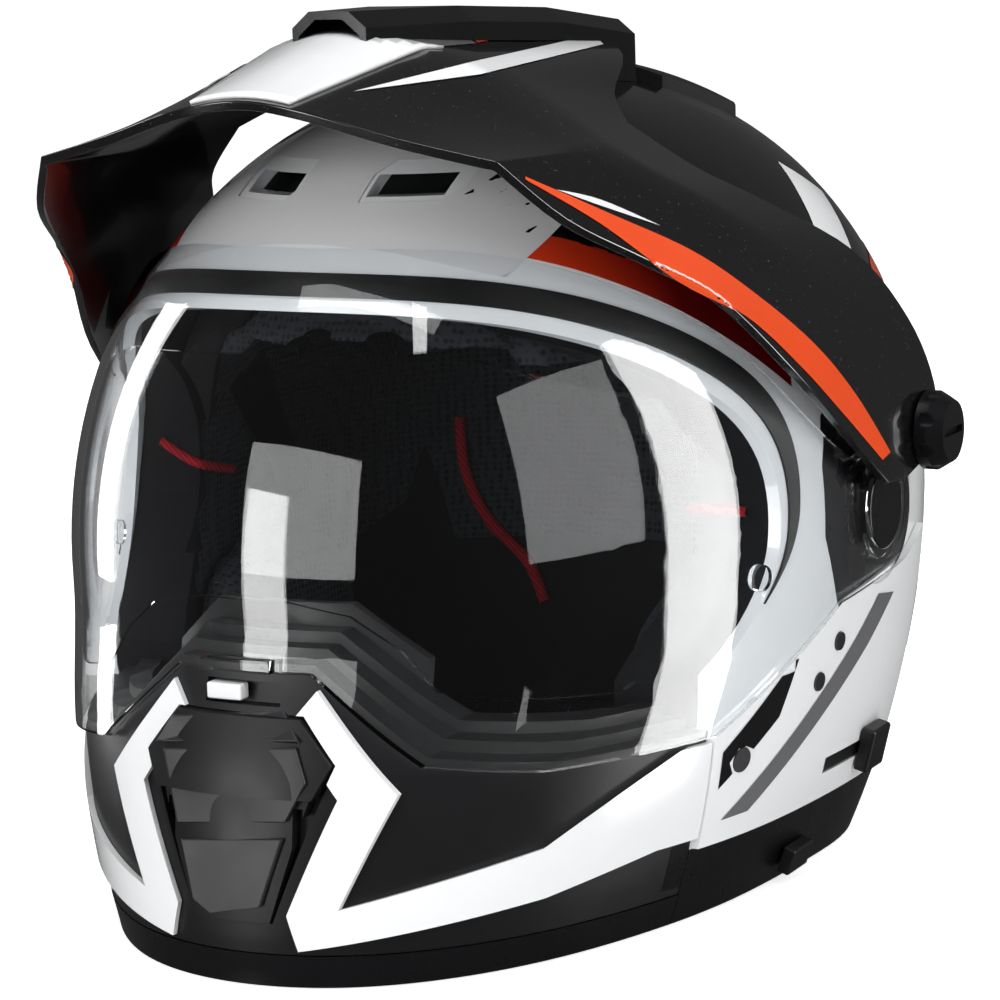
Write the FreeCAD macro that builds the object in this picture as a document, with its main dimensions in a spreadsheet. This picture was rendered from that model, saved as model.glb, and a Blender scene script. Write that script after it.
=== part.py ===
import FreeCAD, Part
import Sketcher
import math
import os

from FreeCAD import Vector

# Dual sport helmet. The frame is in millimetres: +Z up, the face looks along -Y, the wearer's
# left is +X, and the origin is the middle of the rest plane under the neck opening.

SIZES = {
    "shell_half_width": 130.5,
    "shell_widest_height": 112.0,
    "shell_crown": 260.0,
    "neck_half_width": 109.0,
    "centre_back": 29.0,
    "rear_reach": 165.0,
    "rear_widest_height": 148.0,
    "neck_rear_reach": 111.0,
    "face_reach": 157.0,
    "face_bend_height": 105.0,
    "shell_wall": 4.0,
    "liner_wall": 26.0,
    "pad_wall": 9.0,
    "seat_gap": 0.3,
    "trim_height": 25.0,
    "trim_wall": 5.5,
    "split_front": 70.0,
    "port_top": 198.0,
    "port_side": 38.0,
    "gasket_inset": 4.0,
    "gasket_width": 6.5,
    "gasket_lip": 0.7,
    "pivot_back": 21.0,
    "pivot_height": 119.0,
    "shield_gap": 1.0,
    "shield_wall": 2.2,
    "shield_top": 215.0,
    "ear_radius": 25.0,
    "hub_stem_radius": 5.5,
    "hub_radius": 14.0,
    "running_gap": 0.08,
    "plate_depth": 2.4,
    "plate_wall": 1.6,
    "lens_wall": 1.2,
    "chin_top": 93.0,
    "chin_jut": 14.0,
    "chin_wall": 7.0,
    "chin_trim_height": 10.0,
    "chin_liner_wall": 16.0,
    "chin_badge_height": 2.2,
    "visor_radius": 131.0,
    "visor_wall": 2.0,
    "visor_half_width": 92.0,
    "visor_travel": 38.0,
    "peak_wall": 3.0,
    "peak_reach": 148.0,
    "peak_nose_height": 262.0,
    "peak_half_width": 79.0,
    "arm_half_width": 141.0,
    "knob_back": 42.0,
    "knob_height": 141.0,
    "knob_radius": 13.0,
    "knob_length": 9.0,
    "knob_screw_radius": 2.5,
    "brow_vent_place": 24.0,
    "brow_vent_width": 22.0,
    "top_vent_half": 16.0,
    "strap_width": 24.0,
    "strap_wall": 1.6,
    "lever_width": 15.0,
    "lever_height": 4.5,
    "switch_width": 12.0,
    "switch_depth": 5.0,
    "switch_height": 4.6,
    "slider_width": 26.0,
    "slider_depth": 9.0,
    "slider_height": 4.0,
    "release_height": 9.0,
    "release_length": 16.0,
    "release_thickness": 4.0,
}

doc = FreeCAD.newDocument("dual_sport_helmet")
sheet = doc.addObject("Spreadsheet::Sheet", "sizes")
for row, (name, value) in enumerate(SIZES.items(), start=1):
    sheet.set("A%d" % row, name)
    sheet.set("B%d" % row, str(value))
    sheet.setAlias("B%d" % row, name)
doc.recompute()


def size(name):
    """A driving dimension, read from the sheet."""
    return float(sheet.get(name))


SECTION_POINTS = 24
FACE_POWER = 2.1
REAR_POWER = 2.4
WIDTH_POWER = 2.0
BACK_POWER = 2.25
BROW_POWER = 2.1
BROW_ROUNDING = 2.6
CAP_SHARE = 0.992
CAP_STEPS = 9
LOW_LEVELS = [-6.0, 10.0, 28.0, 48.0, 68.0, 86.0, 100.0]
FAR = 400.0


def dome_share(height, start, top, power, rounding=None):
    """How much of its reach a dome keeps at a height, from 1 at start to 0 at the top."""
    share = min(max((height - start) / (top - start), 0.0), 1.0)
    return (1.0 - share ** power) ** (1.0 / (rounding or power))


def half_width(height, grow):
    widest = size("shell_widest_height")
    full = size("shell_half_width") + grow
    if height > widest:
        return full * dome_share(height, widest, size("shell_crown") + grow, WIDTH_POWER)
    narrowing = size("shell_half_width") - size("neck_half_width")
    return full - narrowing * ((widest - height) / widest) ** 2


def rear_radius(height, grow):
    widest = size("rear_widest_height")
    full = size("rear_reach") + grow - size("centre_back")
    if height > widest:
        return full * dome_share(height, widest, size("shell_crown") + grow, BACK_POWER)
    narrowing = size("rear_reach") - size("neck_rear_reach")
    return full - narrowing * ((widest - height) / widest) ** 2


def face_radius(height, grow):
    """Reach of the front: the chin stands proud below, and the brow leans back above."""
    full = size("face_reach") + size("centre_back") + grow
    bend = size("face_bend_height")
    if height > bend:
        return full * dome_share(height, bend, size("shell_crown") + grow, BROW_POWER, BROW_ROUNDING)
    lowest = size("trim_height")
    rise = min(max(height - lowest, 0.0) / (size("chin_top") - lowest), 1.0)
    return full + size("chin_jut") * (1.0 - rise ** 2)


def closed_curve(points):
    """A smooth closed curve; every curve of as many points has the same knots."""
    knots = [step / len(points) for step in range(len(points) + 1)]
    curve = Part.BSplineCurve()
    curve.interpolate(Points=points, PeriodicFlag=True, Parameters=knots)
    return Part.Wire([curve.toShape()])


def section(height, grow):
    """One level curve of the helmet's outer form, moved out by grow."""
    across = half_width(height, grow)
    points = []
    for step in range(SECTION_POINTS):
        angle = 2.0 * math.pi * step / SECTION_POINTS
        cosine, sine = math.cos(angle), math.sin(angle)
        behind = sine > 0
        power = REAR_POWER if behind else FACE_POWER
        reach = rear_radius(height, grow) if behind else face_radius(height, grow)
        x = math.copysign(abs(cosine) ** (2.0 / power), cosine) * across
        y = math.copysign(abs(sine) ** (2.0 / power), sine) * reach + size("centre_back")
        points.append(Vector(x, y, height))
    return closed_curve(points)


forms = {}


def form(grow):
    """The solid inside the outer form moved out by grow. Every growth of it is lofted through
    the same levels, so that layers keep their distance."""
    if grow not in forms:
        widest = size("shell_widest_height")
        crown = size("shell_crown") + grow
        heights = list(LOW_LEVELS)
        for step in range(CAP_STEPS + 1):
            angle = math.asin(CAP_SHARE) * step / CAP_STEPS
            heights.append(widest + (crown - widest) * math.sin(angle))
        forms[grow] = Part.makeLoft([section(height, grow) for height in heights], True, False)
    return forms[grow]


def slab(low, high):
    return box(-FAR, FAR, -FAR, FAR, low, high)


def dome(grow, low):
    """The solid inside the outer form moved out by grow, from a level up to the crown."""
    return form(grow).common(slab(low, FAR))


def band(grow, low, high):
    """The solid inside the outer form between two levels."""
    return form(grow).common(slab(low, high))


def is_level(face):
    return face.BoundBox.ZLength < 1e-4


def skin(outer, inner, low, high):
    """A layer of the outer form between two levels: its side faces closed by level rings."""
    around, within = band(outer, low, high), band(inner, low, high)
    faces = [face for face in around.Faces if not is_level(face)]
    faces += [face.reversed() for face in within.Faces if not is_level(face)]
    ends = []
    for solid in (around, within):
        ends.append(sorted(filter(is_level, solid.Faces), key=lambda face: face.BoundBox.ZMin))
    for place, (wide, narrow) in enumerate(zip(*ends)):
        if abs(wide.BoundBox.ZMin - narrow.BoundBox.ZMin) > 1e-6:
            faces += [wide, narrow.reversed()]
            continue
        ring = Part.Face([wide.OuterWire, narrow.OuterWire])
        ring.validate()
        looks_up = ring.normalAt(0, 0).z > 0
        faces.append(ring if looks_up == (place == 1) else ring.reversed())
    return Part.Solid(Part.Shell(faces))


def surface_x(y, z, grow=0.0):
    """Half-width of the outer form at a place seen from the side."""
    depth = y - size("centre_back")
    power = REAR_POWER if depth > 0 else FACE_POWER
    reach = rear_radius(z, grow) if depth > 0 else face_radius(z, grow)
    share = min(abs(depth) / reach, 1.0)
    return half_width(z, grow) * (1.0 - share ** power) ** (1.0 / power)


def surface_y(x, z, grow=0.0):
    """Front of the outer form at a place seen from the front."""
    share = min(abs(x) / half_width(z, grow), 1.0)
    return size("centre_back") - face_radius(z, grow) * (1.0 - share ** FACE_POWER) ** (1.0 / FACE_POWER)


def rear_y(x, z, grow=0.0):
    """Back of the outer form at a place seen from behind."""
    share = min(abs(x) / half_width(z, grow), 1.0)
    return size("centre_back") + rear_radius(z, grow) * (1.0 - share ** REAR_POWER) ** (1.0 / REAR_POWER)


def spline_edge(points):
    curve = Part.BSplineCurve()
    curve.interpolate(points)
    return curve.toShape()


def side_point(pair):
    return Vector(0.0, pair[0], pair[1])


def side_prism(pieces, left=-FAR, right=FAR):
    """A prism along X. Its outline is a list of runs of (y, z): two points are a straight line
    and more are one smooth curve. Each run starts where the last one ended."""
    edges = []
    for run in pieces:
        points = [side_point(pair) for pair in run]
        edges.append(Part.makeLine(*points) if len(points) == 2 else spline_edge(points))
    face = Part.Face(Part.Wire(edges))
    face.translate(Vector(left, 0.0, 0.0))
    return face.extrude(Vector(right - left, 0.0, 0.0))


def side_polygon(pairs, left=-FAR, right=FAR):
    runs = [(pairs[i], pairs[(i + 1) % len(pairs)]) for i in range(len(pairs))]
    return side_prism(runs, left, right)


def front_polygon(pairs, front=-FAR, rear=0.0):
    """A prism along Y over an outline of (x, z)."""
    points = [Vector(x, front, z) for x, z in pairs]
    face = Part.Face(Part.makePolygon(points + points[:1]))
    return face.extrude(Vector(0.0, rear - front, 0.0))


def plan_polygon(pairs, low, high):
    """A prism along Z over an outline of (x, y)."""
    points = [Vector(x, y, low) for x, y in pairs]
    face = Part.Face(Part.makePolygon(points + points[:1]))
    return face.extrude(Vector(0.0, 0.0, high - low))


def mirrored(shape):
    return shape.mirror(Vector(0, 0, 0), Vector(1, 0, 0))


def largest(shape):
    return max(shape.Solids, key=lambda solid: solid.Volume)


def box(x0, x1, y0, y1, z0, z1):
    return Part.makeBox(x1 - x0, y1 - y0, z1 - z0, Vector(x0, y0, z0))


def rod(start, direction, radius, length):
    return Part.makeCylinder(radius, length, Vector(*start), Vector(*direction))


def add(label, shape):
    """One sub-part of the document with its own label and placement."""
    if shape.ShapeType == "Compound" and len(shape.Solids) == 1:
        shape = shape.Solids[0]
    item = doc.addObject("Part::Feature", label)
    item.Label = label
    item.Shape = shape
    item.Placement = FreeCAD.Placement()
    return item


# The eye port, as seen from the side
def port_runs(grow):
    """Edge of the eye port; grow moves it out over the shell."""
    top = size("port_top") + grow
    back = grow - size("port_side")
    split = -size("split_front")
    upper = [(back - 98, top), (back - 68, top - 6), (back - 48, top - 14), (back - 21, top - 30),
             (back - 9, top - 41), (back - 2, top - 53), (back, top - 68), (back - 2, top - 82)]
    corner = (split, size("chin_top") - 12 - grow)
    lower = [upper[-1], (back - 9, top - 96), (back - 20, top - 108), corner]
    return [[(-FAR, top), upper[0]], upper, lower,
            [corner, (split, -20)], [(split, -20), (-FAR, -20)], [(-FAR, -20), (-FAR, top)]]


def plate_outline(grow):
    """The black base plate beside the shield's pivot, as (y, z)."""
    y, z = size("pivot_back"), size("pivot_height")
    return [(y - 34 - grow, z + 18), (y - 27 - grow, z + 33 + grow), (y - 8, z + 42 + grow),
            (y + 24, z + 40 + grow), (y + 38 + grow, z + 22), (y + 35 + grow, z - 8),
            (y + 22 + grow, z - 20 - grow), (y - 28 - grow, z - 27 - grow), (y - 36 - grow, z - 4)]


def cover_line():
    """The step on the lower side, from the chin split up to behind the pivot, as (y, z)."""
    y, z = size("pivot_back"), size("pivot_height")
    return [(-size("split_front"), z - 57.5), (y - 29, z - 27), (y + 22, z - 22), (y + 44, z - 14)]


def shield_side_runs():
    """The face shield from the side: upper edge, ear round the pivot and lower edge."""
    y, z = size("pivot_back"), size("pivot_height")
    radius = size("ear_radius")
    top = size("shield_top")
    gap = 0.5
    slant = cover_line()
    upper = [(-122, top), (-104, top - 1), (-85, top - 8), (-65, top - 19), (-50, top - 29),
             (-34, top - 45), (y - 0.7 * radius, z + 0.714 * radius)]
    ear = [upper[-1], (y, z + radius), (y + 0.8 * radius, z + 0.6 * radius), (y + radius, z),
           (y + 0.8 * radius, z - 0.6 * radius), (y + 0.3 * radius, slant[1][1] + 4 + gap)]
    return [[(-FAR, top), upper[0]], upper, ear,
            [ear[-1], (slant[1][0], slant[1][1] + gap)],
            [(slant[1][0], slant[1][1] + gap), (slant[0][0], slant[0][1] + gap)],
            [(slant[0][0], slant[0][1] + gap), (slant[0][0], 40)], [(slant[0][0], 40), (-FAR, 40)],
            [(-FAR, 40), (-FAR, top)]]


def chin_top_outline(drop, low):
    """The chin bar's upper contour from the front: high in the middle, low at the cheeks."""
    top = size("chin_top") - drop
    half = [(23, top), (56, top - 27), (84, top - 32), (FAR, top - 32)]
    left = [(-x, z) for x, z in reversed(half)]
    return left + half + [(FAR, low), (-FAR, low)]


def outer_shell():
    wall = size("shell_wall")
    low = size("trim_height")
    body = skin(0.0, -wall, low, FAR)
    body = body.cut(side_prism(port_runs(0.0)))
    pocket = skin(6.0, -size("plate_depth"), 70.0, 180.0)
    body = body.cut(pocket.common(side_polygon(plate_outline(size("seat_gap")))))
    y, z = size("pivot_back"), size("pivot_height")
    stem = size("hub_stem_radius") + size("seat_gap")
    body = body.cut(rod((-FAR, y, z), (1, 0, 0), stem, 2 * FAR))
    screw = size("knob_screw_radius") + size("seat_gap")
    body = body.cut(rod((-FAR, size("knob_back"), size("knob_height")), (1, 0, 0), screw, 2 * FAR))
    for side in (-1, 1):
        middle = side * size("brow_vent_place")
        half = size("brow_vent_width") / 2.0
        body = body.cut(box(middle - half, middle + half, -FAR, -50, 229, 235))
    half = size("top_vent_half")
    body = body.cut(box(-half, half, 50, 58, 230, FAR))
    return body.cut(rod((0, TOP_SCREW_BACK, 200), (0, 0, 1), size("knob_screw_radius") + 0.2, FAR))


def eps_liner():
    outside = -size("shell_wall") - size("seat_gap")
    low = size("trim_height") + size("seat_gap")
    body = skin(outside, outside - size("liner_wall"), low, FAR)
    body = body.cut(side_prism(port_runs(4.0)))
    return body.cut(visor_sweep())


def visor_profile(radius, half, inset):
    """A curved face from the middle to one side, in the plane through the pivot axis."""
    y, z = size("pivot_back"), size("pivot_height")
    steps = 6
    width = size("visor_half_width") * 1.3
    def spot(x, reach):
        rise = reach * math.sqrt(1.0 - (x / width) ** 2)
        return Vector(x, y, z + rise)
    outer = [spot(half * i / steps * 2 - half, radius) for i in range(steps + 1)]
    inner = [spot(half * i / steps * 2 - half, radius - inset) for i in range(steps + 1)]
    return Part.Face(Part.Wire([spline_edge(outer), Part.makeLine(outer[-1], inner[-1]),
                                spline_edge(inner), Part.makeLine(inner[0], outer[0])]))


VISOR_START = 47.0
VISOR_SPAN = 48.0


def turned(shape, degrees):
    """Turn about the shield's pivot axis; a positive angle lifts the front."""
    copy = shape.copy()
    copy.rotate(Vector(0, size("pivot_back"), size("pivot_height")), Vector(1, 0, 0), -degrees)
    return copy


def visor_ring(radius, half, inset, start, span):
    """The profile swept about the pivot axis; angles count up from straight ahead."""
    face = visor_profile(radius, half, inset)
    face = turned(face, -(90.0 - start))
    centre = Vector(0, size("pivot_back"), size("pivot_height"))
    return face.revolve(centre, Vector(-1, 0, 0), span)


def visor_arm(side, start, span, grow):
    """A flat arm from the sun visor's lower corner to its pivot."""
    half = size("visor_half_width")
    y, z = size("pivot_back"), size("pivot_height")
    thick = size("visor_wall")
    reach = size("visor_radius") * math.sqrt(1.0 - (1.0 / 1.3) ** 2)
    points = []
    for angle in (start, start + span):
        turn = math.radians(angle)
        points.append((y - reach * math.cos(turn), z + reach * math.sin(turn)))
    middle = math.radians(start + span / 2)
    across = Vector(0, math.sin(middle), math.cos(middle)) * (6.0 + grow)
    pairs = [points[0], (y - across.y, z - across.z), (y + across.y, z + across.z), points[1]]
    x0 = half - thick - grow
    x1 = half + grow
    blade = side_polygon(pairs, x0, x1)
    blade = blade.fuse(rod((x0, y, z), (1, 0, 0), 9.0 + grow, x1 - x0))
    return blade if side > 0 else mirrored(blade)


def visor_sweep():
    """The room in the liner that the sun visor needs over its whole travel."""
    gap = 1.0
    start = VISOR_START - size("visor_travel") - 2.0
    span = VISOR_SPAN + size("visor_travel") + 4.0
    room = visor_ring(size("visor_radius") + 30.0, size("visor_half_width") + gap,
                      30.0 + size("visor_wall") + gap, start, span)
    for side in (-1, 1):
        arm = rod((size("visor_half_width") - size("visor_wall") - gap, size("pivot_back"),
                   size("pivot_height")), (1, 0, 0), 86.0, size("visor_wall") + 2 * gap)
        keep = side_polygon([(size("pivot_back") + 12, size("pivot_height") - 12),
                             (size("pivot_back") + 12, FAR), (-FAR, FAR),
                             (-FAR, size("pivot_height") - 40)])
        arm = arm.common(keep)
        room = room.fuse(arm if side > 0 else mirrored(arm))
    return room


def sun_visor():
    body = visor_ring(size("visor_radius"), size("visor_half_width"), size("visor_wall"),
                      VISOR_START, VISOR_SPAN)
    for side in (-1, 1):
        body = body.fuse(visor_arm(side, VISOR_START, VISOR_SPAN * 0.45, 0.0))
    hole = rod((-FAR, size("pivot_back"), size("pivot_height")), (1, 0, 0), 3.0, 2 * FAR)
    return body.cut(hole)


def left_half():
    return box(0.5, FAR, -FAR, FAR, -FAR, FAR)


def front_half():
    return box(-FAR, FAR, -FAR, -size("split_front") - size("seat_gap"), -FAR, FAR)


def normal_at(y, z):
    """Outward direction of the form's left side at a place seen from the side."""
    step = 1.0
    slope_y = (surface_x(y + step, z) - surface_x(y - step, z)) / (2 * step)
    slope_z = (surface_x(y, z + step) - surface_x(y, z - step)) / (2 * step)
    return Vector(1.0, -slope_y, -slope_z).normalize()


def stud(y, z, radius, inner, outer):
    """A round piece square to the left side of the form, between two growths of it."""
    way = normal_at(y, z)
    start = Vector(surface_x(y, z), y, z) + way * inner
    return Part.makeCylinder(radius, outer - inner, start, way)


def eyeport_gasket():
    lip = size("gasket_lip")
    inset = size("gasket_inset")
    body = skin(0.1 + lip, 0.1, 66.0, 216.0)
    body = body.common(side_prism(port_runs(inset + size("gasket_width"))))
    return largest(body.cut(side_prism(port_runs(inset))))


def side_plate():
    floor = -size("plate_depth") + 0.1
    body = skin(floor + size("plate_wall"), floor, 80.0, 172.0).common(left_half())
    body = body.common(side_polygon(plate_outline(-0.2)))
    body = body.cut(rod((0, size("pivot_back"), size("pivot_height")), (1, 0, 0),
                        size("hub_stem_radius") + size("seat_gap"), FAR))
    return body.cut(rod((0, size("knob_back"), size("knob_height")), (1, 0, 0),
                        size("knob_screw_radius") + size("seat_gap"), FAR))


def plate_face():
    """How far the base plate's outer face lies from the form."""
    return -size("plate_depth") + 0.1 + size("plate_wall")


def shield_hub():
    """Round pivot hub with a stem through the plate and the shell."""
    y, z = size("pivot_back"), size("pivot_height")
    back = size("shell_half_width") + plate_face() + 0.05
    face = size("shell_half_width") + size("shield_gap") + size("shield_wall") + 1.2
    hub = rod((back, y, z), (1, 0, 0), size("hub_radius"), face - back)
    hub = hub.makeFillet(0.8, [edge for edge in hub.Edges if edge.BoundBox.XMin > face - 0.1])
    stem_start = size("shell_half_width") - size("shell_wall") + 0.6
    return hub.fuse(rod((stem_start, y, z), (1, 0, 0), size("hub_stem_radius"), back - stem_start))


TEETH = 13


def ratchet_strip():
    """Toothed arc under the shield's ear, in front of the hub."""
    y, z = size("pivot_back"), size("pivot_height")
    inner_face = size("shield_gap") - 0.1
    body = skin(inner_face, inner_face - 0.6, 88.0, 152.0).common(left_half())
    ring = rod((0, y, z), (1, 0, 0), 24.0, FAR).cut(rod((-1, y, z), (1, 0, 0), 20.5, FAR + 2))
    body = body.common(ring).common(box(0, FAR, -FAR, y - 2, z - 9, FAR))
    for tooth in range(TEETH):
        turn = math.radians(-22.0 + 8.6 * tooth)
        spot = (0, y - 24.4 * math.cos(turn), z + 24.4 * math.sin(turn))
        body = body.cut(rod(spot, (1, 0, 0), 1.1, FAR))
    return body


def face_shield():
    gap = size("shield_gap")
    wall = size("shield_wall")
    y, z = size("pivot_back"), size("pivot_height")
    body = skin(gap + wall, gap, 50.0, 222.0).common(side_prism(shield_side_runs()))
    edge = chin_top_outline(-1.0, size("shield_top") + 40)
    body = body.common(front_polygon(edge, -FAR, FAR))
    ring_start = size("shell_half_width") + gap
    ring_end = ring_start + wall + 0.9
    for side in (-1, 1):
        start = ring_start if side > 0 else -ring_end
        body = body.fuse(rod((start, y, z), (1, 0, 0), size("hub_radius") + 3.5, ring_end - ring_start))
    hole = size("hub_radius") + size("running_gap")
    body = body.cut(rod((-FAR, y, z), (1, 0, 0), hole, 2 * FAR))
    front = surface_y(0, size("chin_top") + 4, gap + wall)
    tab = box(-12, 12, front - 3.5, front + 1.0, size("chin_top") + 1.2, size("chin_top") + 5)
    return body.fuse(tab)


def lens_outline():
    top = size("chin_top")
    half = [(0, top + 22), (15, top + 22), (34, top + 18), (47, top + 8), (57, top - 5), (72, top - 9),
            (97, top - 11), (109, top - 3), (114, top + 12), (116, top + 30), (113, top + 50),
            (100, top + 74), (60, top + 90), (0, top + 93)]
    return half + [(-x, z) for x, z in reversed(half[1:-1])]


PIN_PLACE = (-49.0, 108.0)
PIN_RADIUS = 4.2


def antifog_lens():
    outer = size("shield_gap") - size("seat_gap")
    body = skin(outer, outer - size("lens_wall"), 70.0, 195.0)
    body = body.common(front_polygon(lens_outline(), -FAR, -30.0))
    pin = stud(PIN_PLACE[0], PIN_PLACE[1], PIN_RADIUS + 0.2, -6.0, 6.0)
    return body.cut(pin).cut(mirrored(pin))


def lens_pins():
    pin = stud(PIN_PLACE[0], PIN_PLACE[1], PIN_RADIUS, -1.8, size("shield_gap") - 0.25)
    return Part.makeCompound([pin, mirrored(pin)])


def mask_outline(grow):
    half = [(21 + grow, 81 + grow), (32 + grow, 68), (13 + grow, 20 - grow)]
    return [(-x, z) for x, z in half] + list(reversed(half))


def chin_bar():
    wall = size("chin_wall")
    low = size("chin_trim_height") + size("seat_gap")
    body = skin(0.0, -wall, low, size("chin_top") + 3).common(front_half())
    body = body.common(front_polygon(chin_top_outline(0.0, low)))
    pocket = skin(4.0, -3.5, 12.0, 90.0).common(front_polygon(mask_outline(0.4)))
    body = body.cut(pocket)
    body = body.cut(box(-12, 12, -FAR, -size("split_front"), 38, 60))
    slot = skin(4.0, -4.5, 78.0, 95.0).common(box(-13, 13, -FAR, 0, 83.5, 90.5))
    return body.cut(slot)


def chin_liner():
    outside = -size("chin_wall") - size("seat_gap")
    low = size("chin_trim_height") + size("seat_gap")
    body = skin(outside, outside - size("chin_liner_wall"), low, size("chin_top") + 3).common(front_half())
    body = body.common(front_polygon(chin_top_outline(1.0, low)))
    return body.cut(box(-12, 12, -FAR, -size("split_front"), 38, 60))


def contour_strip(low, high):
    """A strip that follows the chin's upper contour, between two heights above it."""
    lower = chin_top_outline(-low, 0.0)[:-2]
    upper = chin_top_outline(-high, 0.0)[:-2]
    return front_polygon(lower + list(reversed(upper)))


def chin_seal():
    """Three rubber ridges that step up and inwards behind the shield's lower edge."""
    steps = [(-0.4, -7.6, 3.0), (-7.4, -14.6, 6.5), (-14.4, -22.0, 10.0)]
    body = None
    for outer, inner, height in steps:
        ridge = skin(outer, inner, 50.0, 108.0).common(front_half())
        ridge = ridge.common(contour_strip(size("seat_gap"), height))
        body = ridge if body is None else body.fuse(ridge)
    return body


def breath_guard():
    body = skin(-22.3, -25.3, 80.0, 120.0).common(box(-44, 44, -FAR, -90, 0, FAR))
    return body.common(contour_strip(size("seat_gap"), 17.0))


def chin_curtain():
    body = band(-8.5, 2.0, 3.5)
    return body.common(box(-FAR, FAR, -FAR, -104, 0, 10))


def chin_trim():
    high = size("chin_trim_height")
    return skin(0.4, -8.0, 0.0, high).common(front_half())


def bottom_trim():
    body = skin(0.4, -size("trim_wall"), 0.0, size("trim_height") - size("seat_gap"))
    return body.common(box(-FAR, FAR, -size("split_front"), FAR, -1, FAR))


def chin_vent_cover():
    hood = [(-21, 81), (21, 81), (32, 68), (27, 58), (-27, 58), (-32, 68)]
    tongue = [(-26, 60), (26, 60), (13, 20), (-13, 20)]
    body = skin(3.4, -3.2, 50.0, 90.0).common(front_polygon(hood))
    tongue_body = skin(1.0, -3.2, 14.0, 66.0).common(front_polygon(tongue))
    body = body.fuse(tongue_body)
    grille = None
    for side in (-1, 1):
        slot = box(side * 22 - 1.5, side * 22 + 1.5, -FAR, -120, 42, 55)
        grille = slot if grille is None else grille.fuse(slot)
    return body.cut(grille)


def chin_strip():
    """White strip along the chin bar that turns up into a chevron beside the vent."""
    outline = [(25, 89), (50, 59), (34, 25), (82, 38), (108, 60), (FAR, 60), (FAR, 29), (101, 29),
               (81, 22), (22, 12), (19, 23), (34, 58), (18, 80)]
    body = skin(size("chin_badge_height"), 0.15, 10.5, 92.0).common(front_half())
    return body.common(front_polygon(outline)).cut(front_polygon(mask_outline(0.8)))


def sun_lever_rail():
    """Rail in the left cover's slot, under the sun visor's lever."""
    body = skin(COVER_HEIGHT - 0.6, 0.15, 30.0, 44.0).common(left_half())
    return body.common(box(0, FAR, LEVER_BACK - 31.7, LEVER_BACK + 7.7, LEVER_HEIGHT - 2.4,
                           LEVER_HEIGHT + 2.4))


PLUG_PLACES = [(-7.0, 80.0, 3.0), (-18.0, 69.0, 3.0), (-56.0, 52.0, 4.0)]
COVER_HEIGHT = 2.6


def side_cover():
    """Raised lower side panel, from the step line down to the trim."""
    split = -size("split_front") + size("seat_gap")
    low = size("trim_height") + size("seat_gap")
    line = cover_line()
    outline = [(split, line[0][1])] + line[1:] + [(46, low), (split, low)]
    body = skin(COVER_HEIGHT, 0.15, low, 112.0).common(left_half()).common(side_polygon(outline))
    body = body.cut(rod((0, size("pivot_back"), size("pivot_height")), (1, 0, 0),
                        size("ear_radius") + 2 * size("seat_gap"), FAR))
    for y, z, radius in PLUG_PLACES:
        body = body.cut(stud(y, z, radius + 0.2, -1.0, 8.0))
    return body


def side_cover_left():
    slot_low, slot_high = LEVER_HEIGHT - 2.7, LEVER_HEIGHT + 2.7
    return side_cover().cut(box(0, FAR, LEVER_BACK - 32, LEVER_BACK + 8, slot_low, slot_high))


def side_plugs():
    plugs = [stud(y, z, radius, 0.2, COVER_HEIGHT + 0.5) for y, z, radius in PLUG_PLACES]
    return Part.makeCompound(plugs + [mirrored(plug) for plug in plugs])


LEVER_BACK = 28.0
LEVER_HEIGHT = 37.0
LEVER_TRAVEL = 22.0


def crown_pad():
    outside = -size("shell_wall") - size("liner_wall") - 2 * size("seat_gap")
    body = skin(outside, outside - size("pad_wall"), 172.0, FAR)
    body = body.common(box(-72, 72, -72, 128, 172, FAR))
    face = form(outside - size("pad_wall") + 4.0)
    for place in (-34, -12, 12, 34):
        body = body.cut(face.common(box(place - 1.5, place + 1.5, -FAR, FAR, 160, FAR)))
    return body


def brow_pad():
    outside = -size("shell_wall") - size("liner_wall") - 2 * size("seat_gap")
    body = skin(outside, outside - 8.0, 178.0, 202.0)
    body = body.common(box(-FAR, FAR, -FAR, -73, 180, 200))
    gap = 0.6
    path = visor_ring(size("visor_radius") + gap, size("visor_half_width") + gap,
                      size("visor_wall") + 2 * gap, VISOR_START - size("visor_travel") - 2.0,
                      VISOR_SPAN + size("visor_travel") + 4.0)
    return largest(body.cut(path))


def cheek_pad():
    """A cushion with a crowned face and drawn-in sides, seated on the liner."""
    outline = [(-54, 82), (-30, 98), (6, 102), (34, 92), (43, 62), (34, 38), (-4, 29), (-44, 32),
               (-60, 54)]
    middle = (-8.0, 64.0)
    levels = [(70.0, 0.62), (73.0, 0.84), (79.0, 0.97), (88.0, 1.0), (104.0, 0.96)]
    wires = []
    for x, share in levels:
        points = [Vector(x, middle[0] + (y - middle[0]) * share, middle[1] + (z - middle[1]) * share)
                  for y, z in outline]
        wires.append(closed_curve(points))
    body = Part.makeLoft(wires, True, False)
    outside = -size("shell_wall") - size("liner_wall") - 2 * size("seat_gap")
    return body.common(band(outside, 10.0, 118.0))


def neck_roll():
    outside = -size("trim_wall") - size("seat_gap")
    body = skin(outside, outside - 20.0, 3.0, size("trim_height") - 1.0)
    return body.common(box(-FAR, FAR, 18, FAR, 0, FAR))


def rear_vent_cover():
    body = skin(4.5, 0.2, 128.0, 182.0)
    outline = [(-52, 172), (52, 172), (40, 150), (22, 134), (-22, 134), (-40, 150)]
    body = body.common(front_polygon(outline, 60.0, FAR))
    for place in (-28, 0, 28):
        body = body.cut(box(place - 9, place + 9, 60, FAR, 158, 163))
    return body


def top_vent_base():
    outline = [(-60, 76), (-42, 56), (0, 47), (42, 56), (60, 76), (52, 92), (0, 74), (-52, 92)]
    body = skin(4.0, 0.2, 215.0, FAR)
    return body.common(plan_polygon(outline, 200, FAR))


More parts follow.
